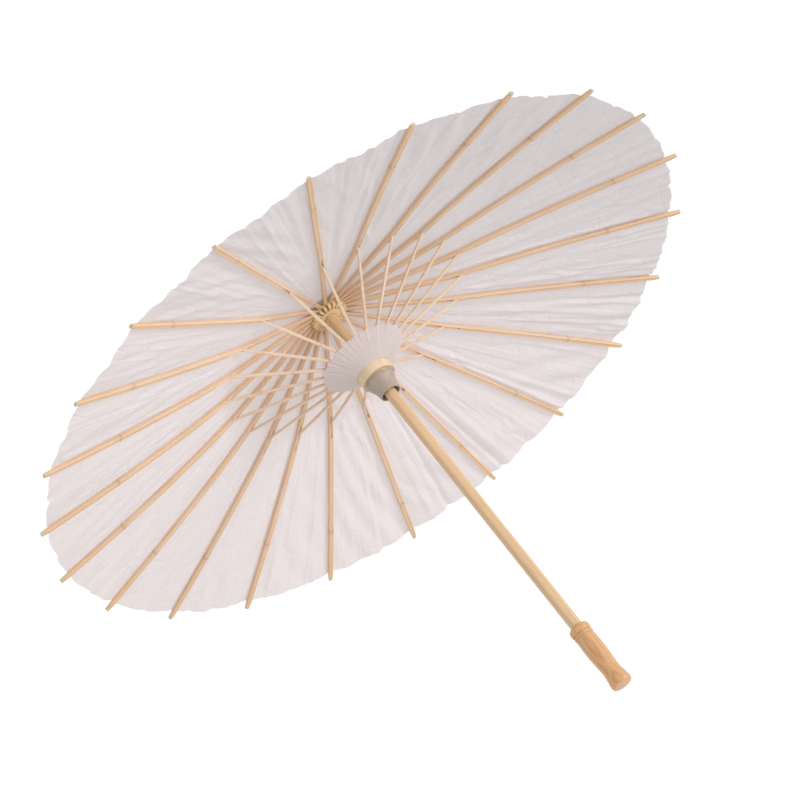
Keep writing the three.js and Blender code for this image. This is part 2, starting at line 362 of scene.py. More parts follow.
def make_world():
    """A white studio sky, brightest on the far side of the umbrella where the backdrop is lit."""
    backdrop = (-0.823, -0.330, 0.462)
    world = bpy.data.worlds.new("studio")
    bpy.context.scene.world = world
    n = Nodes(world)
    direction = n.add("TexCoord", output="Generated")
    strength = n.range(n.along(direction, backdrop), 0.45, 0.94, 0.78, 1.02)
    background = n.tree.nodes["Background"]
    n.set(background.inputs["Strength"], strength)
    n.set(background.inputs["Color"], (1.0, 1.0, 1.0))


def make_floor():
    floor_z = -2.6
    reach = 8.0
    mesh = bpy.data.meshes.new("floor")
    corners = [(x * reach, y * reach, floor_z) for x, y in ((-1, -1), (1, -1), (1, 1), (-1, 1))]
    mesh.from_pydata(corners, [], [(0, 1, 2, 3)])
    material = material_nodes("floor_pale").finish({"Base Color": (0.86, 0.86, 0.85), "Roughness": 0.9})
    mesh.materials.append(material)
    add_object("floor", mesh)


def make_studio():
    bpy.context.scene.view_settings.view_transform = "Standard"
    make_world()
    make_floor()
    centre = (0.0, 0.0, 0.35)
    area_light("key", (0.2, 3.9, -1.2), centre, 2.0, 80.0, (1.0, 0.97, 0.95))
    area_light("top", (-0.9, -0.9, 2.2), centre, 1.4, 7.0, (0.97, 0.98, 1.0))


# ---- Materials ----

def bamboo_material(name, pale, dark, knuckle_colour, outer_tint, end_colour):
    """Split bamboo. U runs along the strip in metres from its knuckle, and V round it."""
    n = material_nodes(name)
    uv = n.uv()
    along = n.axis(uv, "X")
    fibres = n.grain(uv, (16.0, 3000.0, 1.0), detail=3.0, roughness=0.6)
    streaks = n.grain(uv, (9.0, 620.0, 1.0), (0.3, 0.1, 0.0), detail=2.0)
    cloud = n.grain(uv, (26.0, 90.0, 1.0), detail=2.0)
    colour = n.ramp(
        n.range(fibres, 0.3, 0.7), [(0.0, dark), (0.5, mix(dark, pale, 0.65)), (1.0, pale)])
    colour = n.tinted(colour, streaks, 0.45, 0.75, 0.5, mix(dark, pale, 0.2))
    colour = n.tinted(colour, cloud, 0.4, 0.8, 0.3, mix(pale, (1.0, 0.93, 0.84), 0.5))
    colour = n.tinted(colour, along, -0.004, 0.03, 0.55, outer_tint)
    # Painted highlight: the rib's rounded corners, where the edge attribute is 1, are lightened towards cream.
    painted_edge_highlight = mix(pale, (1.0, 0.95, 0.85), 0.6)
    colour = n.blend(n.math("MULTIPLY", n.attribute("edge"), 0.4), colour, painted_edge_highlight)
    colour = n.tinted(colour, n.attribute("tone"), 0.0, 1.0, 0.3, mix(dark, pale, 0.3))
    from_knuckle = n.math("ABSOLUTE", along)
    line = n.ramp(n.range(from_knuckle, 0.0, 0.0016), [(0.0, 1.0), (0.4, 0.7), (1.0, 0.0)])
    halo = mix(knuckle_colour, dark, 0.5)
    colour = n.blend(n.range(from_knuckle, 0.001, 0.008, 0.15, 0.0), colour, halo)
    colour = n.blend(n.math("MULTIPLY", line, 0.38), colour, knuckle_colour)
    colour = n.blend(n.math("MULTIPLY", n.attribute("end"), 0.75), colour, end_colour)
    # Painted light: the side walls of each rib's slot, which lie in shade, are lightened towards a pale cream.
    colour = n.blend(n.attribute("slot"), colour, mix(pale, (1.0, 0.92, 0.78), 0.7))
    height = n.total((fibres, 1.0), (line, -0.5))
    return n.finish({
        "Base Color": colour,
        "Roughness": n.range(fibres, 0.3, 0.7, 0.42, 0.6),
        "Normal": n.bump(height, 0.4, 0.15 * MM),
        "Specular IOR Level": 0.45,
    })


def wood_material(name, pale, dark, ring_scale, roughness, coat=0.0, bump=0.25, end_grain=None):
    """Turned or planed wood with its grain along Z."""
    n = material_nodes(name)
    place = n.place()
    rings = n.add("TexWave", {
        "Vector": n.scaled(place, (1.0, 1.0, 0.06), (0.021, 0.008, 0.0)), "Scale": ring_scale,
        "Distortion": 4.0, "Detail": 3.0, "Detail Scale": 1.2}, wave_type="RINGS", rings_direction="Z")
    fibres = n.grain(place, (1500.0, 1500.0, 26.0), roughness=0.65)
    pores = n.grain(place, (900.0, 900.0, 60.0), (3.1, 1.7, 0.4), detail=2.0)
    cloud = n.grain(place, (60.0, 60.0, 14.0), detail=2.0)
    colour = n.ramp(
        rings, [(0.0, pale), (0.6, mix(pale, dark, 0.3)), (1.0, mix(pale, dark, 0.8))])
    colour = n.tinted(colour, fibres, 0.3, 0.75, 0.4, mix(pale, dark, 0.75))
    colour = n.tinted(colour, cloud, 0.4, 0.75, 0.3, mix(pale, (1.0, 0.85, 0.6), 0.35))
    colour = n.tinted(colour, pores, 0.66, 0.74, 0.5, mix(dark, (0.2, 0.1, 0.04), 0.4))
    if end_grain:
        facing = n.axis(n.add("NewGeometry", output="Normal"), "Z")
        speckle = n.grain(place, (700.0, 700.0, 700.0))
        ends = n.ramp(speckle, [(0.3, end_grain), (0.7, mix(end_grain, pale, 0.5))])
        colour = n.blend(n.range(facing, -0.9, -0.98), colour, ends)
    height = n.total((fibres, 0.7), (rings, 0.3))
    return n.finish({
        "Base Color": colour,
        "Roughness": n.range(fibres, 0.3, 0.7, roughness - 0.06, roughness + 0.08),
        "Normal": n.bump(height, bump, 0.12 * MM),
        "Coat Weight": coat,
        "Coat Roughness": 0.25,
    })


def paper_material(name, tone, warm_tone, through, crumple):
    """Oiled paper: pulp, cloudy sizing, radial fibres and fine creases, with light coming through it."""
    n = material_nodes(name)
    place = n.place()
    uv = n.uv()
    cloud = n.noise(place, 22.0, detail=5.0, roughness=0.6)
    pulp = n.noise(place, 420.0, detail=5.0, roughness=0.7, distortion=0.6)
    streaks = n.grain(uv, (9.0, 330.0, 1.0), roughness=0.6)
    hairs = n.grain(uv, (60.0, 1700.0, 1.0), detail=3.0, distortion=1.5)
    furrows = n.grain(uv, (5.0, 85.0, 1.0), detail=3.0, distortion=0.7)
    colour = n.ramp(n.range(cloud, 0.3, 0.7), [(0.0, warm_tone), (1.0, tone)])
    colour = n.tinted(colour, pulp, 0.35, 0.7, 0.22, mix(tone, (0.6, 0.56, 0.54), 0.3))
    colour = n.tinted(colour, streaks, 0.4, 0.7, 0.2, mix(tone, (0.55, 0.5, 0.5), 0.35))
    colour = n.tinted(colour, hairs, 0.62, 0.8, 0.3, mix(tone, (1.0, 1.0, 1.0), 0.6))
    colour = n.tinted(colour, furrows, 0.52, 0.72, 0.22, mix(tone, (0.45, 0.44, 0.48), 0.4))
    # Painted shade: towards one side of the canopy the paper is mixed to a darker, cooler grey.
    shaded_side = n.along(place, (cos(SHADED_SIDE_AZIMUTH), sin(SHADED_SIDE_AZIMUTH), 0.0))
    painted_shade = mix(tone, (0.50, 0.50, 0.52), 0.5)
    colour = n.tinted(colour, shaded_side, -0.02, 0.24, 0.78, painted_shade)
    wander = n.add("TexNoise", {"Vector": place, "Scale": 9.0}, output="Color")
    crooked = n.blend(0.06, place, wander)
    folds = n.add("TexVoronoi", {"Vector": crooked, "Scale": 30.0}, feature="DISTANCE_TO_EDGE")
    fold = n.ramp(n.range(folds, 0.0, 0.12), [(0.0, 0.0), (0.25, 0.65), (1.0, 1.0)])
    height = n.total((pulp, 0.3), (fold, crumple), (cloud, 1.2), (streaks, 1.6), (furrows, 4.0 * crumple))
    normal = n.bump(height, 0.42, 1.0 * MM)
    material = n.finish({
        "Base Color": colour,
        "Roughness": n.range(cloud, 0.3, 0.7, 0.5, 0.68),
        "Normal": normal,
        "Specular IOR Level": 0.35,
    })
    lit_through = n.blend(0.5, colour, warm_tone)
    translucent = n.add("BsdfTranslucent", {"Color": lit_through, "Normal": normal})
    both = n.add("MixShader", {0: through, 1: n.shader.outputs[0], 2: translucent})
    n.tree.links.new(both, n.tree.nodes["Material Output"].inputs["Surface"])
    return material


def collar_material():
    """Warm grey moulded plastic, a little scuffed, with faint turning lines."""
    n = material_nodes("collar_plastic")
    place = n.place()
    scuff = n.grain(place, (180.0, 180.0, 60.0), detail=5.0)
    grain = n.noise(place, 2600.0, detail=2.0)
    lines = n.grain(place, (4.0, 4.0, 1800.0), detail=2.0)
    colour = n.ramp(n.range(scuff, 0.3, 0.72), [(0.0, (0.40, 0.325, 0.265)), (1.0, (0.48, 0.40, 0.34))])
    return n.finish({
        "Base Color": colour,
        "Roughness": n.range(scuff, 0.3, 0.7, 0.36, 0.52),
        "Normal": n.bump(n.total((grain, 0.5), (lines, 0.5)), 0.2, 0.06 * MM),
    })


def wire_material():
    """Drawn steel wire, dull and a little browned."""
    n = material_nodes("steel_wire")
    place = n.place()
    stain = n.noise(place, 900.0, detail=4.0)
    drawn = n.grain(place, (3000.0, 3000.0, 300.0))
    colour = n.ramp(n.range(stain, 0.35, 0.7), [(0.0, (0.16, 0.13, 0.10)), (1.0, (0.34, 0.31, 0.28))])
    return n.finish({
        "Base Color": colour,
        "Metallic": 0.85,
        "Roughness": n.range(stain, 0.3, 0.7, 0.28, 0.5),
        "Normal": n.bump(drawn, 0.2, 0.05 * MM),
    })


MATERIALS = {
    "rib": bamboo_material(
        "rib_bamboo", pale=(0.85, 0.60, 0.40), dark=(0.64, 0.385, 0.215), knuckle_colour=(0.42, 0.22, 0.10),
        outer_tint=(0.76, 0.47, 0.235), end_colour=(0.60, 0.52, 0.36)),
    "strut": bamboo_material(
        "strut_bamboo", pale=(0.87, 0.67, 0.51), dark=(0.68, 0.47, 0.32), knuckle_colour=(0.55, 0.36, 0.20),
        outer_tint=(0.84, 0.67, 0.48), end_colour=(0.52, 0.34, 0.20)),
    "pole": wood_material(
        "pole_wood", (0.80, 0.56, 0.34), (0.62, 0.40, 0.205), 170.0, 0.46, coat=0.08, bump=0.12),
    "handle": wood_material(
        "handle_wood", (0.74, 0.42, 0.20), (0.56, 0.29, 0.12), 170.0, 0.46, coat=0.1, bump=0.15,
        end_grain=(0.72, 0.42, 0.27)),
    "hub": wood_material("hub_wood", (0.84, 0.68, 0.47), (0.72, 0.55, 0.36), 110.0, 0.55, bump=0.12),
    "notch": wood_material("notch_wood", (0.92, 0.71, 0.40), (0.80, 0.60, 0.31), 150.0, 0.6),
    "paper": paper_material("oiled_paper", (0.845, 0.78, 0.79), (0.855, 0.775, 0.765), 0.38, 0.9),
    "pleated": paper_material("pleated_paper", (0.83, 0.765, 0.78), (0.84, 0.76, 0.755), 0.34, 0.1),
    "collar": collar_material(),
    "wire": wire_material(),
}


# ---- Mesh helpers ----

def add_mesh(name, points, faces, material, sharp_degrees=35.0):
    mesh = bpy.data.meshes.new(name)
    mesh.from_pydata([tuple(p) for p in points], [], faces)
    mesh.materials.append(MATERIALS[material])
    piece = add_object(name, mesh)
    smooth_shade(piece, sharp_degrees)
    return piece


def smooth_shade(piece, sharp_degrees=35.0):
    piece.data.shade_smooth()
    piece.data.set_sharp_from_angle(angle=radians(sharp_degrees))


def face_out(piece):
    """Points a closed mesh's faces outward."""
    bm = bmesh.new()
    bm.from_mesh(piece.data)
    bmesh.ops.recalc_face_normals(bm, faces=bm.faces)
    bm.to_mesh(piece.data)
    bm.free()


def grid_faces(rows, columns):
    return [
        (r * columns + c, r * columns + c + 1, (r + 1) * columns + c + 1, (r + 1) * columns + c)
        for r in range(rows - 1) for c in range(columns - 1)
    ]


def wall_face(r, c, sides, first=0):
    """The face from side c to the next, between ring r of a tube and the next ring."""
    near, far = first + r * sides, first + (r + 1) * sides
    c2 = (c + 1) % sides
    return near + c, near + c2, far + c2, far + c


def wall_faces(rings, sides, first=0):
    return [wall_face(r, c, sides, first) for r in range(rings - 1) for c in range(sides)]


def tube_faces(rings, sides, first=0):
    """Faces of a closed tube: its walls, ring by ring, and its two ends."""
    faces = wall_faces(rings, sides, first)
    faces.append(tuple(first + c for c in reversed(range(sides))))
    faces.append(tuple(first + (rings - 1) * sides + c for c in range(sides)))
    return faces


def tube_points(path, radius, sides):
    """Rings of points square to a path."""
    path = [Vector(p) for p in path]
    points = []
    side_axis = None
    for i, place in enumerate(path):
        ahead = (path[min(i + 1, len(path) - 1)] - path[max(i - 1, 0)]).normalized()
        if side_axis is None:
            side_axis = ahead.orthogonal()
        side_axis = (side_axis - ahead * side_axis.dot(ahead)).normalized()
        up_axis = ahead.cross(side_axis)
        for k in range(sides):
            angle = 2 * pi * k / sides
            points.append(place + (side_axis * cos(angle) + up_axis * sin(angle)) * radius)
    return points


def tube(name, path, radius, material, sides=16):
    piece = add_mesh(name, tube_points(path, radius, sides), tube_faces(len(path), sides), material)
    face_out(piece)
    return piece


def turned(name, profile, material, segments=96, closed=False):
    """A piece turned about Z from [(radius, height), ...]. A closed profile makes a ring."""
    points, faces, starts = [], [], []
    on_axis = {i for i, (radius, _) in enumerate(profile) if radius < 1e-7}
    for i, (radius, z) in enumerate(profile):
        starts.append(len(points))
        for k in range(1 if i in on_axis else segments):
            angle = 2 * pi * k / segments
            points.append((radius * cos(angle), radius * sin(angle), z))
    for i in range(len(profile) if closed else len(profile) - 1):
        j = (i + 1) % len(profile)
        a, b = starts[i], starts[j]
        for k in range(segments):
            k2 = (k + 1) % segments
            if i in on_axis:
                faces.append((a, b + k, b + k2))
            elif j in on_axis:
                faces.append((a + k, b, a + k2))
            else:
                faces.append((a + k, b + k, b + k2, a + k2))
    piece = add_mesh(name, points, faces, material)
    face_out(piece)
    smooth_shade(piece)
    return piece


def smooth_curve(points, steps=5):
    """A smooth line of (radius, height) through points (Catmull-Rom)."""
    line = []
    for i in range(len(points) - 1):
        p0, p1, p2, p3 = (np.array(points[min(max(j, 0), len(points) - 1)]) for j in range(i - 1, i + 3))
        for t in np.arange(steps) / steps:
            line.append(0.5 * (2 * p1 + (p2 - p0) * t + (2 * p0 - 5 * p1 + 4 * p2 - p3) * t ** 2
                               + (3 * p1 - p0 - 3 * p2 + p3) * t ** 3))
    line.append(np.array(points[-1]))
    return [tuple(p) for p in line]


def bead(radius, low, high, depth, steps=7):
    """A rounded ring on a turned piece, standing depth proud of its groove."""
    angles = np.linspace(0, pi, steps)
    return [
        (radius - depth + depth * sin(a), mix(low, high, 0.5 - 0.5 * cos(a))) for a in angles]


def boxes(name, placements):
    """One mesh of several cutting boxes, each (size, centre, azimuth), with its centre turned about Z."""
    points, faces = [], []
    for size, centre, azimuth in placements:
        turn = Matrix.Rotation(azimuth, 3, "Z")
        base = len(points)
        for corner in itertools.product((-0.5, 0.5), repeat=3):
            points.append(turn @ Vector([middle + c * side for middle, c, side in zip(centre, corner, size)]))
        for face in ((0, 1, 3, 2), (4, 6, 7, 5), (0, 4, 5, 1), (2, 3, 7, 6), (0, 2, 6, 4), (1, 5, 7, 3)):
            faces.append(tuple(base + i for i in face))
    return add_mesh(name, points, faces, "wire")


def cut(piece, *cutters):
    """Cuts other meshes out of a piece, and removes them."""
    for cutter in cutters:
        modifier = piece.modifiers.new("cut", "BOOLEAN")
        modifier.operation = "DIFFERENCE"
        modifier.solver = "EXACT"
        modifier.object = cutter
    bpy.context.view_layer.update()
    evaluated = piece.evaluated_get(bpy.context.evaluated_depsgraph_get())
    mesh = bpy.data.meshes.new_from_object(evaluated)
    piece.modifiers.clear()
    piece.data = mesh
    for cutter in cutters:
        bpy.data.objects.remove(cutter)
    smooth_shade(piece)


def arc_points(x, y, radius, degrees):
    """Points on a circle round (x, y), at the angles given."""
    return [(x + radius * cos(radians(d)), y + radius * sin(radians(d))) for d in degrees]


def lengths_round(section):
    """How far it is round a section to each of its points."""
    return np.cumsum([0.0] + [dist(a, b) for a, b in zip(section, section[1:])])


def spaced(fixed, start, end, step, clearance):
    """Stations in order: the fixed ones, and even ones between them that keep clear of them."""
    between = [x for x in np.arange(start, end, step) if min(abs(x - other) for other in fixed) > clearance]
    return np.array(sorted(fixed + between))


def coordinates(piece):
    return np.array([v.co for v in piece.data.vertices])


def set_attribute(piece, name, values, domain="POINT"):
    attribute = piece.data.attributes.new(name, "FLOAT", domain)
    attribute.data.foreach_set("value", np.asarray(values, np.float32))


def set_uv(piece, u, v):
    """Gives every corner of every face its point's (u, v)."""
    layer = piece.data.uv_layers.new(name="grain")
    corners = np.array([loop.vertex_index for loop in piece.data.loops])
    pairs = np.stack([np.asarray(u)[corners], np.asarray(v)[corners]], axis=1)
    layer.data.foreach_set("uv", pairs.astype(np.float32).ravel())


def stand_for(piece, body, node):
    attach(piece, body)
    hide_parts(node)


# ---- Ribs ----

RIB_TONGUE_END = PIVOT_RADIUS + 7.6 * MM
RIB_NECK_END = RIB_TONGUE_END + 1.4 * MM
RIB_SLOT_HALF = 0.95 * MM


def rib_section(half_width, half_depth, centre_z, groove):
    """Points (y, z) round a rib: over its right side from the slot's top edge, and back up its left."""
    corner = min(0.45 * MM, 0.4 * half_width)
    slot = min(RIB_SLOT_HALF, 0.57 * half_width)
    right = [
        (slot, half_depth),
        *arc_points(half_width - corner, half_depth - corner, corner, (75, 45, 15)),
        (half_width, 0.0),
        *arc_points(half_width - corner, corner - half_depth, corner, (-15, -45, -75)),
        (slot, -half_depth),
        (0.45 * slot, groove - half_depth),
    ]
    left = [(-y, z) for y, z in reversed(right)]
    return [(y, centre_z + z) for y, z in right + left]


SECTION_POINTS = 20
SLOT_TOP_RIGHT, SLOT_BOTTOM_RIGHT = 0, 8
SLOT_BOTTOM_LEFT, SLOT_TOP_LEFT = 11, 19


def rib_stations(knuckle, tip):
    """Distances from the pole's axis at which a rib's section is drawn."""
    arc = [PIVOT_RADIUS - HEAD_HALF_DEPTH * cos(a) for a in np.linspace(0.2, 0.5 * pi, 6)]
    fixed = arc + [RIB_TONGUE_END, RIB_NECK_END, RIB_SLOT_START, RIB_SLOT_END]
    fixed += [knuckle + offset * MM for offset in (-4, -2, -1, -0.4, 0, 0.4, 1, 2, 4)]
    fixed += [tip - offset * MM for offset in (9, 7, 5, 3, 1.2, 0.3, 0)]
    return spaced(fixed, PIVOT_RADIUS + 3 * MM, tip, 5 * MM, clearance=1.5 * MM)


def slotted_faces(stations):
    """Faces of a rib: a tube that splits into two cheeks along its slot."""
    n = SECTION_POINTS
    first = int(np.argmin(np.abs(stations - RIB_SLOT_START)))
    last = int(np.argmin(np.abs(stations - RIB_SLOT_END)))
    faces = []
    for r in range(len(stations) - 1):
        in_slot = first <= r < last
        for c in range(n):
            over_slot = c == SLOT_TOP_LEFT or SLOT_BOTTOM_RIGHT <= c < SLOT_BOTTOM_LEFT
            if not (in_slot and over_slot):
                faces.append(wall_face(r, c, n))
        if in_slot:
            for top, bottom in ((SLOT_TOP_RIGHT, SLOT_BOTTOM_RIGHT), (SLOT_TOP_LEFT, SLOT_BOTTOM_LEFT)):
                faces.append((r * n + top, (r + 1) * n + top, (r + 1) * n + bottom, r * n + bottom))
    wall = [SLOT_TOP_LEFT, SLOT_TOP_RIGHT, *range(SLOT_BOTTOM_RIGHT, SLOT_BOTTOM_LEFT + 1)]
    for station in (first, last):
        faces.append(tuple(station * n + c for c in wall))
    faces.append(tuple(range(n)))
    faces.append(tuple((len(stations) - 1) * n + c for c in range(n)))
    return faces


def make_rib(index):
    """A split cane: round head, slot for the strut, a knuckle near the rim and a whittled tip."""
    draw = random.Random(1000 + index)
    knuckle = draw.uniform(224, 252) * MM
    tip = TIP_RADIUS + draw.uniform(-2.2, 1.4) * MM
    broad = draw.uniform(0.95, 1.04)
    bend = draw.uniform(-1.2, 1.2) * MM
    stations = rib_stations(knuckle, tip)

    swell = np.exp(-((stations - knuckle) / (2.2 * MM)) ** 2)
    taper = smoothstep((stations - (tip - 8 * MM)) / (8 * MM))
    in_head = np.clip(PIVOT_RADIUS - stations, 0, HEAD_HALF_DEPTH)
    half_width = stepped(stations, [
        (RIB_TONGUE_END - 2.6 * MM, 0.85 * MM), (RIB_TONGUE_END - 1.6 * MM, 1.35 * MM),
        (RIB_SLOT_START, 1.75 * MM), (RIB_SLOT_END, 1.9 * MM * broad),
        (JOINT_RADIUS + 70 * MM, RIB_HALF_WIDTH * broad)])
    half_width = half_width * (1 - 0.24 * taper) + 0.13 * MM * swell
    half_depth = np.where(
        stations < PIVOT_RADIUS, np.sqrt(HEAD_HALF_DEPTH ** 2 - in_head ** 2), rib_half_depth(stations))
    half_depth = half_depth * (1 - 0.16 * taper) + 0.08 * MM * swell
    sideways = bend * np.clip((stations - RIB_SLOT_END) / (tip - RIB_SLOT_END), 0, 1) ** 2
    centre = rib_centre_z(stations)
    groove = 0.28 * MM * smoothstep((stations - RIB_NECK_END) / (10 * MM)) * (1 - taper)

    points, across = [], []
    for i, x in enumerate(stations):
        ripple = 0.10 * MM * noise.noise(Vector((x * 55, index * 7.3, 0.0)))
        section = rib_section(half_width[i] + ripple, half_depth[i], centre[i], groove[i])
        across += list(lengths_round(section) + 0.013 * index)
        points += [(x, y + sideways[i], z) for y, z in section]

    rib = add_mesh(numbered("cane_rib", index), points, slotted_faces(stations), "rib")
    set_uv(rib, np.array(points)[:, 0] - knuckle, across)
    face_out(rib)
    cut(
        rib, cross_hole(PIVOT_RADIUS, NOTCH_Z, WIRE_HOLE_RADIUS),
        cross_hole(JOINT_RADIUS, JOINT_Z, PIN_HOLE_RADIUS))

    # The side walls of the slot, which the bamboo material lightens as painted light.
    in_slot = [
        abs(face.normal.y) > 0.9 and RIB_SLOT_START < face.center.x < RIB_SLOT_END
        and abs(face.center.y - np.interp(face.center.x, stations, sideways)) < 1.3 * MM
        for face in rib.data.polygons]
    set_attribute(rib, "slot", in_slot, domain="FACE")
    place = coordinates(rib)
    x = place[:, 0]
    from_centre = np.abs(place[:, 1] - np.interp(x, stations, sideways)) / np.interp(x, stations, half_width)
    from_middle = np.abs(place[:, 2] - np.interp(x, stations, centre)) / np.interp(x, stations, half_depth)
    # edge is 1 along the rib's rounded corners, where the bamboo material paints a highlight.
    set_attribute(rib, "edge", smoothstep((from_centre - 0.7) / 0.2) * smoothstep((from_middle - 0.6) / 0.3))
    set_attribute(rib, "end", smoothstep((x - (tip - 6 * MM)) / (6 * MM)))
    set_attribute(rib, "tone", np.full(len(x), draw.random()))
    turn_and_settle(rib, index)
    stand_for(rib, numbered("rib", index), numbered("rib", index))


def turn_and_settle(piece, index):
    """Turns a rib or strut from +X to its own place, with the lean and lift that it has there."""
    azimuth = index * GORE_ANGLE
    piece.data.transform(Matrix.Rotation(azimuth, 4, "Z"))
    piece.data.vertices.foreach_set("co", settle(coordinates(piece), azimuth).ravel())


def cross_hole(x, z, radius):
    half_length = 5 * MM
    return tube("cutter", [(x, -half_length, z), (x, half_length, z)], radius, "wire")


# ---- Struts ----

def make_strut(index):
    """A thin slat, narrowed where it enters the rib's slot, pointed at its end and pinned there."""
    draw = random.Random(3000 + index)
    head = 1.6 * MM
    tip = STRUT_LENGTH + 2.4 * MM
    bow = draw.uniform(-0.8, 0.8) * MM
    knuckle = draw.uniform(20, 95) * MM
    arc = [-head * cos(a) for a in np.linspace(0.2, 0.5 * pi, 5)]
    fixed = arc + [offset * MM for offset in (1.1, 7, 8.2)]
    fixed += [STRUT_LENGTH - offset * MM for offset in (16, 14, 0)] + [tip - 1.2 * MM, tip]
    stations = spaced(fixed, 4 * MM, tip, 6 * MM, clearance=2 * MM)

    half_width = stepped(stations, [
        (7 * MM, 0.85 * MM), (8.2 * MM, 1.15 * MM), (STRUT_LENGTH - 16 * MM, 1.15 * MM),
        (STRUT_LENGTH - 14 * MM, 0.75 * MM), (STRUT_LENGTH, 0.75 * MM), (tip, 0.3 * MM)])
    round_head = np.sqrt(np.maximum(head ** 2 - stations ** 2, 0))
    body = stepped(stations, [(STRUT_LENGTH, STRUT_HALF_THICKNESS), (tip, 0.45 * MM)])
    half_height = np.where(stations < 0, round_head, np.maximum(round_head, body))
    sideways = bow * np.sin(pi * np.clip(stations / STRUT_LENGTH, 0, 1)) ** 2

    along = (rib_joint - runner_pivot).normalized()
    up = Vector((-along.z, 0.0, along.x))
    points, u, v = [], [], []
    for i, s in enumerate(stations):
        section = rounded_section(half_width[i], half_height[i], 0.35 * MM)
        points += [runner_pivot + along * s + up * h + Vector((0, y + sideways[i], 0)) for y, h in section]
        u += [s - knuckle] * len(section)
        v += list(lengths_round(section) + 0.011 * index)
    sides = len(section)
    faces = tube_faces(len(stations), sides)

    pin_sides = 12
    pin_path = [(JOINT_RADIUS, y, JOINT_Z) for y in (-PIN_HALF_LENGTH, PIN_HALF_LENGTH)]
    faces += tube_faces(2, pin_sides, first=len(points))
    pin = tube_points(pin_path, PIN_RADIUS, pin_sides)
    points += pin
    u += [0.02] * len(pin)
    v += [0.0] * len(pin)

    strut = add_mesh(numbered("slat_strut", index), points, faces, "strut")
    set_uv(strut, u, v)
    face_out(strut)
    cut(strut, cross_hole(PIVOT_RADIUS, RUNNER_Z, WIRE_HOLE_RADIUS))
    reach = (coordinates(strut) - np.array(runner_pivot)) @ np.array(along)
    set_attribute(strut, "end", smoothstep((reach - STRUT_LENGTH - 1.0 * MM) / (2 * MM)))
    set_attribute(strut, "tone", np.full(len(reach), draw.random()))
    turn_and_settle(strut, index)
    stand_for(strut, numbered("strut", index), numbered("strut", index))


def rounded_section(half_width, half_height, corner):
    corner = min(corner, 0.45 * half_width, 0.45 * half_height)
    across, up = half_width - corner, half_height - corner
    section = []
    for quarter, (side, level) in enumerate(((1, 1), (-1, 1), (-1, -1), (1, -1))):
        degrees = [quarter * 90 + d for d in (15, 45, 75)]
        section += arc_points(side * across, level * up, corner, degrees)
    return section


# ---- Canopy paper ----

class Gore:
    """The paper between one rib and the next: where its creases run and how deep they are.

    A place on it is (radius, u), with u from -1 at the first rib over 0 at its middle crease to 1.
    """

    def __init__(self, index):
        draw = random.Random(2000 + index)
        self.middle = (index + 0.5) * GORE_ANGLE
        handled = mix(0.5, 1.35, 0.5 + 0.5 * cos(self.middle - CREASED_AZIMUTH))
        self.depth = draw.uniform(1.4, 3.2) * MM
        self.nick = draw.uniform(0.6, 2.2) * MM
        self.rim_phase = draw.uniform(0, 6.3)
        # Waves (size, waves across, waves along, phase), creases (place at 200 mm, drift, start, size, reach)
        # and crumples (radius, place, turn, length, size, reach).
        self.waves = [
            (draw.uniform(0.15, 0.4) * MM, draw.uniform(1.0, 4.5), draw.uniform(4, 16), draw.uniform(0, 6.3))
            for _ in range(5)]
        self.creases = [
            (draw.uniform(-0.86, 0.86), draw.uniform(-0.25, 0.25), draw.uniform(50, 190) * MM,
             draw.choice((-1, -1, 1)) * draw.uniform(0.5, 1.5) * MM * handled, draw.uniform(1.6, 5.0) * MM)
            for _ in range(draw.randint(4, 8))]
        self.crumples = [
            (draw.uniform(90, 285) * MM, draw.uniform(-0.8, 0.8), draw.gauss(0, 0.35), draw.uniform(8, 26) * MM,
             draw.choice((-1, 1)) * draw.uniform(0.4, 1.2) * MM * handled, draw.uniform(1.5, 4.0) * MM)
            for _ in range(int(draw.randint(8, 16) * handled))]

    def rim_radius(self, u):
        """The paper's edge: a shallow arc in each half, with a nick at the crease and at the ribs."""
        halves = np.abs(u)
        bulge = 0.7 * MM * np.sin(pi * halves)
        nick = self.nick * tent(u / 0.16) + 0.5 * MM * tent((1 - halves) / 0.12)
        trim = 0.25 * MM * np.sin(9 * u + self.rim_phase)
        return PAPER_RADIUS - 0.5 * MM + bulge - nick + trim

    def height(self, radius, u):
        """How far the paper stands off the flat panel, down being negative."""
        growth = smoothstep((radius - 35 * MM) / (240 * MM))
        width = HALF_GORE * radius
        result = -self.depth * growth * (1 - np.abs(u)) ** 0.9
        for size, across, along, phase in self.waves:
            result += size * growth * np.sin(across * pi * u + along * radius * 10 + phase)
        for place, drift, start, size, reach in self.creases:
            line = place + drift * (radius - 200 * MM) / (200 * MM)
            fade = smoothstep((radius - start) / (70 * MM))
            result += size * fade * tent((u - line) * width / reach)
        for at_radius, at_u, turn, length, size, reach in self.crumples:
            out, side = radius - at_radius, (u - at_u) * width
            along = out * cos(turn) + side * sin(turn)
            across = side * cos(turn) - out * sin(turn)
            result += size * smoothstep(tent(along / length)) * tent(across / reach)
        from_rib = (1 - np.abs(u)) * width
        return result * smoothstep((from_rib - RIB_HALF_WIDTH) / (3 * MM))


GORES = [Gore(index) for index in range(RIB_COUNT)]


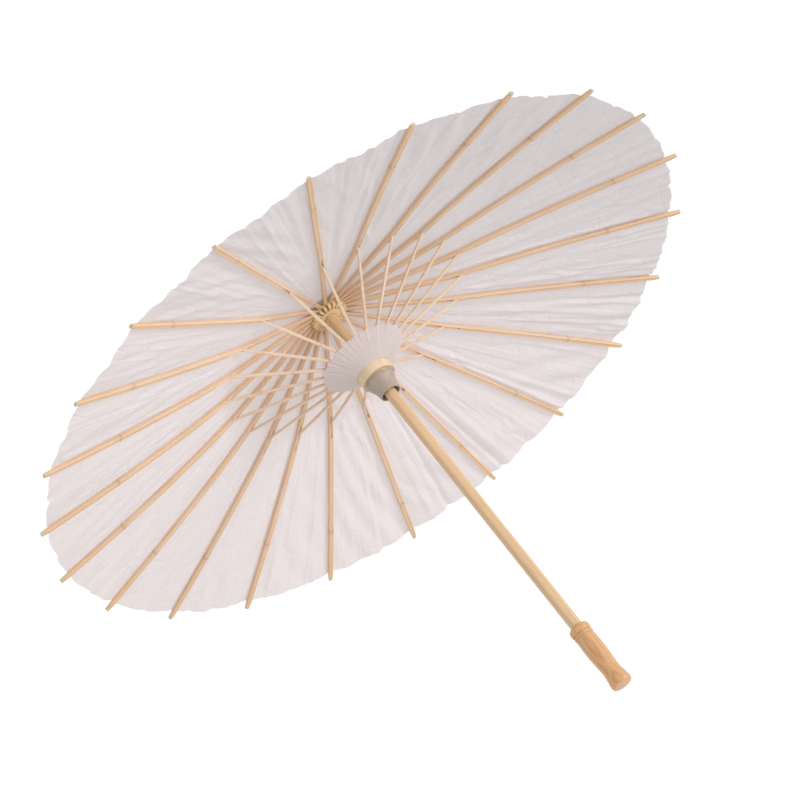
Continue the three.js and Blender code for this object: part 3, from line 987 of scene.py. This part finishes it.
def make_half_gore(index, side):
    """The paper from one rib to the crease on its left (side 1) or right (side -1).

    It moves with its rib.
    """
    rows, columns = 84, 27
    gore = GORES[index if side > 0 else index - 1]
    u = np.linspace(-side, 0, columns)[None, :].repeat(rows, axis=0)
    outward = np.linspace(0, 1, rows)[:, None]
    radius = mix(PAPER_INNER_RADIUS, gore.rim_radius(u), outward)
    flat_radius = radius * np.cos(u * HALF_GORE) / cos(HALF_GORE)
    z = paper_z(flat_radius) + gore.height(radius, u)
    azimuth = gore.middle + u * HALF_GORE
    points = settle(polar(radius, azimuth, z))
    side_name = "left" if side > 0 else "right"
    name = f"{numbered('canopy', index)}_{side_name}"
    faces = grid_faces(rows, columns)
    if side < 0:
        faces = [tuple(reversed(face)) for face in faces]
    paper = add_mesh(name, points, faces, "paper", sharp_degrees=60.0)
    set_uv(paper, radius.ravel(), azimuth.ravel() * PAPER_RADIUS)
    stand_for(paper, numbered("rib", index), "canopy_paper")

    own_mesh(paper)


# ---- Runner's paper disc ----

def make_disc_segment(index):
    """Pleated paper under one strut, moving with it."""
    rows, columns = 14, 41
    pleats = 4
    inner = hub_high.x + 0.7 * MM
    outer = disc_high.x
    draw = random.Random(4000 + index)
    strut_middle = RUNNER_Z + (outer - PIVOT_RADIUS) * STRUT_SLOPE
    under_struts = strut_middle - STRUT_HALF_THICKNESS * hypot(1, STRUT_SLOPE) - 0.5 * MM
    round_hub = disc_low.z + 0.5 * MM
    u = np.linspace(-1, 1, columns)[None, :].repeat(rows, axis=0)
    outward = np.linspace(0, 1, rows)[:, None]
    edge = outer - 0.9 * MM * u ** 2 - 0.25 * MM * np.abs(np.sin(pleats * pi * u))
    radius = mix(inner, edge, outward)
    fold = np.abs((u * pleats + 0.5 * pleats) % 2 - 1)
    depth = draw.uniform(0.45, 0.65) * MM * mix(0.25, 1.0, outward)
    under_strut = smoothstep(np.abs(u) * HALF_GORE * radius / (1.6 * MM) - 0.5)
    sag = 0.5 * MM * outward * np.abs(u)
    z = mix(round_hub, under_struts, outward) - depth * fold * under_strut - sag
    azimuth = index * GORE_ANGLE + u * HALF_GORE
    points = settle(polar(radius, azimuth, z))
    faces = grid_faces(rows, columns)
    paper = add_mesh(numbered("disc", index), points, faces, "pleated", sharp_degrees=60.0)
    set_uv(paper, radius.ravel(), azimuth.ravel() * outer)
    stand_for(paper, numbered("strut", index), "runner_paper")
    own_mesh(paper)


# ---- Top cap ----

def make_top_cap():
    """A round of paper over the notch, tied in under the finial and fluted over the rib heads."""
    rows, columns = 22, RIB_COUNT * 10
    thickness = 0.6 * MM
    rim = cap_high.x
    shoulder = notch_high.x + 0.8 * MM
    crown = shoulder - 4.3 * MM
    top = cap_high.z - 0.5 * thickness
    hole = BORE_RADIUS + 0.3 * MM
    profile = [(hole, top), (crown, top), (shoulder, top - 3 * MM), (rim, cap_low.z + 0.6 * thickness)]
    radius = np.linspace(hole, rim, rows)[:, None].repeat(columns, axis=1)
    azimuth = np.linspace(0, 2 * pi, columns, endpoint=False)[None, :]
    growth = smoothstep((radius - crown) / (rim - crown))
    flutes = np.abs((azimuth / GORE_ANGLE + 0.5) % 1 - 0.5) * 2
    wander = 0.35 * MM * np.sin(5 * azimuth + 1.1) * np.sin(3 * azimuth)
    z = stepped(radius, profile) + growth * (0.5 * MM * flutes + 0.2 * MM * np.sin(44 * azimuth))
    edge = radius + growth * (wander + 0.4 * MM * flutes)
    faces = wall_faces(rows, columns)
    cap = add_mesh("crown_paper", polar(edge, azimuth, z), faces, "pleated", sharp_degrees=60.0)
    set_uv(cap, radius.ravel(), (azimuth * rim + 0 * radius).ravel())
    stand_for(cap, "shaft", "top_cap")


# ---- Turned wood ----

def hub_slots(low, high):
    """Cutting boxes for the slots that rib or strut ends turn in."""
    length, inner = 20 * MM, 9.4 * MM
    size = (length, 2.0 * MM, high - low)
    centre = (inner + length / 2, 0, (low + high) / 2)
    return boxes("slots", [(size, centre, index * GORE_ANGLE) for index in range(RIB_COUNT)])


def wire_loop(name, radius, z):
    """A ring of wire through the heads of the ribs or struts."""
    loop_radius = PIVOT_RADIUS / cos(HALF_GORE / 2)
    section = arc_points(loop_radius, z, radius, range(0, 360, 30))
    return turned(name, section, "wire", segments=RIB_COUNT * 6, closed=True)


def slotted_wood(name, material, outside, pivot_z, slot_low, slot_high):
    """A bored piece of turned wood with a slot for each rib or strut and a channel for their wire."""
    low, high = outside[0][1], outside[-1][1]
    profile = [(BORE_RADIUS, low)] + outside + [(BORE_RADIUS, high)]
    piece = turned(name, profile, material, segments=132, closed=True)
    cut(piece, hub_slots(slot_low, slot_high), wire_loop("channel", WIRE_CHANNEL_RADIUS, pivot_z))
    return piece


def make_notch():
    radius, low, high = notch_high.x, notch_low.z, notch_high.z
    chamfer = 1.5 * MM
    outside = smooth_curve([
        (radius - chamfer, low), (radius - 0.3 * MM, low + 0.6 * MM), (radius, low + chamfer),
        (radius, high - 2.2 * chamfer), (radius - 1.2 * chamfer, high - 0.8 * chamfer),
        (radius - 3 * chamfer, high)], steps=4)
    slot_top = NOTCH_Z + HEAD_HALF_DEPTH + 0.7 * MM
    notch = slotted_wood("notch_turned", "notch", outside, NOTCH_Z, low - 5 * MM, slot_top)
    stand_for(notch, "shaft", "top_notch")
    stand_for(wire_loop("notch_wire", WIRE_RADIUS, NOTCH_Z), "shaft", "notch_ring")


def make_hub():
    """The runner's wooden hub: a slotted crown, a plain band and a tapered boss for the collar."""
    radius, low, high = hub_high.x, hub_low.z, hub_high.z
    band_low = low + 8.5 * MM
    outside = [(9.5 * MM, low), (11.2 * MM, band_low)]
    outside += smooth_curve([
        (radius - 1.0 * MM, band_low), (radius - 0.25 * MM, band_low + 0.25 * MM),
        (radius, band_low + 1.1 * MM), (radius, high - 1.4 * MM), (radius - 0.4 * MM, high - 0.4 * MM),
        (radius - 1.2 * MM, high)], steps=4)
    hub = slotted_wood("hub_turned", "hub", outside, RUNNER_Z, RUNNER_Z - 2.2 * MM, high + 5 * MM)
    thread_azimuth = radians(-38)
    thread_z = band_low + 2.6 * MM
    thread_path = [
        (r * cos(thread_azimuth), r * sin(thread_azimuth), thread_z)
        for r in (radius - 3 * MM, radius + 1 * MM)]
    cut(hub, tube("thread_hole", thread_path, 0.55 * MM, "wire"))
    stand_for(hub, "runner", "runner_hub")
    stand_for(wire_loop("runner_wire", WIRE_RADIUS, RUNNER_Z), "runner", "runner_ring")


def make_collar():
    """A thin grey cone under the hub, with a rounded lip."""
    wide, low, high = collar_high.x, collar_low.z, collar_high.z
    narrow = 9.0 * MM
    wall = 0.9 * MM
    lip = arc_points(narrow - 0.5 * wall, low + 0.5 * wall, 0.5 * wall, np.linspace(-180, 0, 9))
    outside = smooth_curve([
        (narrow + 0.15 * MM, low + 1.5 * MM), (narrow + 1.5 * MM, low + 8 * MM),
        (wide - 0.35 * MM, high - 3.2 * MM), (wide, high - 1 * MM), (wide, high - 0.2 * MM)])
    inside = [(wide - 0.2 * MM, high), (wide - wall, high), (wide - wall, high - 1 * MM)]
    collar = turned("collar_moulded", lip + outside + inside, "collar", segments=128, closed=True)
    stand_for(collar, "runner", "runner_collar")


def make_pole():
    """A straight planed stick, very slightly uneven, with the catch's slot in its side."""
    ease = 0.6 * MM
    low, high = pole_low.z, pole_high.z
    heights = np.linspace(low + ease, high - ease, 56)
    profile = [(0, low), (POLE_RADIUS - ease, low)]
    profile += [(POLE_RADIUS, z) for z in heights]
    profile += [(POLE_RADIUS - ease, high), (0, high)]
    pole = turned("pole_stick", profile, "pole", segments=72)
    for vertex in pole.data.vertices:
        x, y, z = vertex.co
        uneven = 1 + 0.012 * noise.noise(Vector((x * 160, y * 160, z * 22)))
        vertex.co.x *= uneven
        vertex.co.y *= uneven
    slot_low = catch_low.z - 3 * MM
    slot_high = slot_low + 40 * MM
    size = (9 * MM, 1.8 * MM, slot_high - slot_low)
    slot = boxes("slot", [(size, (2.5 * MM, 0, 0.5 * (slot_low + slot_high)), CATCH_AZIMUTH)])
    cut(pole, slot)
    stand_for(pole, "shaft", "pole")


def make_catch():
    """Bent spring wire: it leans out of the pole's slot to a nose under the runner."""
    low, high = catch_low.z, catch_high.z
    thick = 0.5 * MM
    nose = 6.5 * MM
    path = smooth_curve([
        (0.9 * MM, low + 0.2 * MM), (1.0 * MM, low + 4 * MM), (1.9 * MM, low + 12 * MM),
        (4.4 * MM, high - 12 * MM), (nose - 0.2 * MM, high - 4.2 * MM), (nose, high - 2.2 * MM),
        (nose - 0.3 * MM, high - thick - 0.3 * MM), (nose - 1.4 * MM, high - thick),
        (1.9 * MM, high - thick)], steps=6)
    turn = Matrix.Rotation(CATCH_AZIMUTH, 3, "Z")
    catch = tube("catch_wire", [turn @ Vector((r, 0, z)) for r, z in path], thick, "wire", sides=12)
    stand_for(catch, "catch", "catch_spring")


def make_handle():
    """A turned grip: wide rounded end, waist, swelling, two thin grooves and a rounded shoulder."""
    top = handle_high.z / MM
    end = [(0, 0), (6.6, 0), (7.4, 0.15), (8.0, 0.5), (8.35, 1.1)]
    grip = smooth_curve([
        (8.6, 2.4), (8.55, 4), (8.15, 7), (7.5, 11), (7.15, 15), (7.4, 21), (7.9, 28), (8.1, 36),
        (7.9, 43), (7.75, 47.4)], steps=4)
    ring = bead(8.1, 48.3, 50.9, 0.8, steps=9)
    shoulder = smooth_curve([
        (7.4, 51.4), (8.2, 51.9), (8.5, 53.4), (8.5, 54.8), (8.1, 56.4), (7.3, 57.4), (6.4, top)], steps=4)
    shoulder.append((BORE_RADIUS / MM, top))
    bore = [(BORE_RADIUS / MM, pole_low.z / MM - 0.3), (0, pole_low.z / MM - 0.3)]
    profile = [(r * MM, handle_low.z + z * MM) for r, z in end + grip + ring + shoulder + bore]
    handle = turned("handle_turned", profile, "handle")
    stand_for(handle, "shaft", "handle")


def make_finial():
    low, high = finial_low.z, finial_high.z
    base = finial_high.x
    outside = bead(base, low, low + 3.2 * MM, 1.2 * MM)
    outside += smooth_curve([
        (base - 1.9 * MM, low + 3.8 * MM), (base - 2.2 * MM, low + 7 * MM), (base - 3.2 * MM, low + 11 * MM),
        (base - 5.2 * MM, high - 1.8 * MM), (base - 7.2 * MM, high - 0.3 * MM), (0, high)])
    socket = pole_high.z + 0.3 * MM
    profile = [(0, socket), (BORE_RADIUS, socket), (BORE_RADIUS, low)] + outside
    stand_for(turned("finial_turned", profile, "handle"), "shaft", "finial")


# ---- Assembly ----

make_camera()
make_studio()
make_notch()
make_hub()
make_collar()
make_pole()
make_catch()
make_handle()
make_finial()
make_top_cap()
for rib_index in range(RIB_COUNT):
    make_rib(rib_index)
    make_strut(rib_index)
    make_half_gore(rib_index, 1)
    make_half_gore(rib_index, -1)
    make_disc_segment(rib_index)
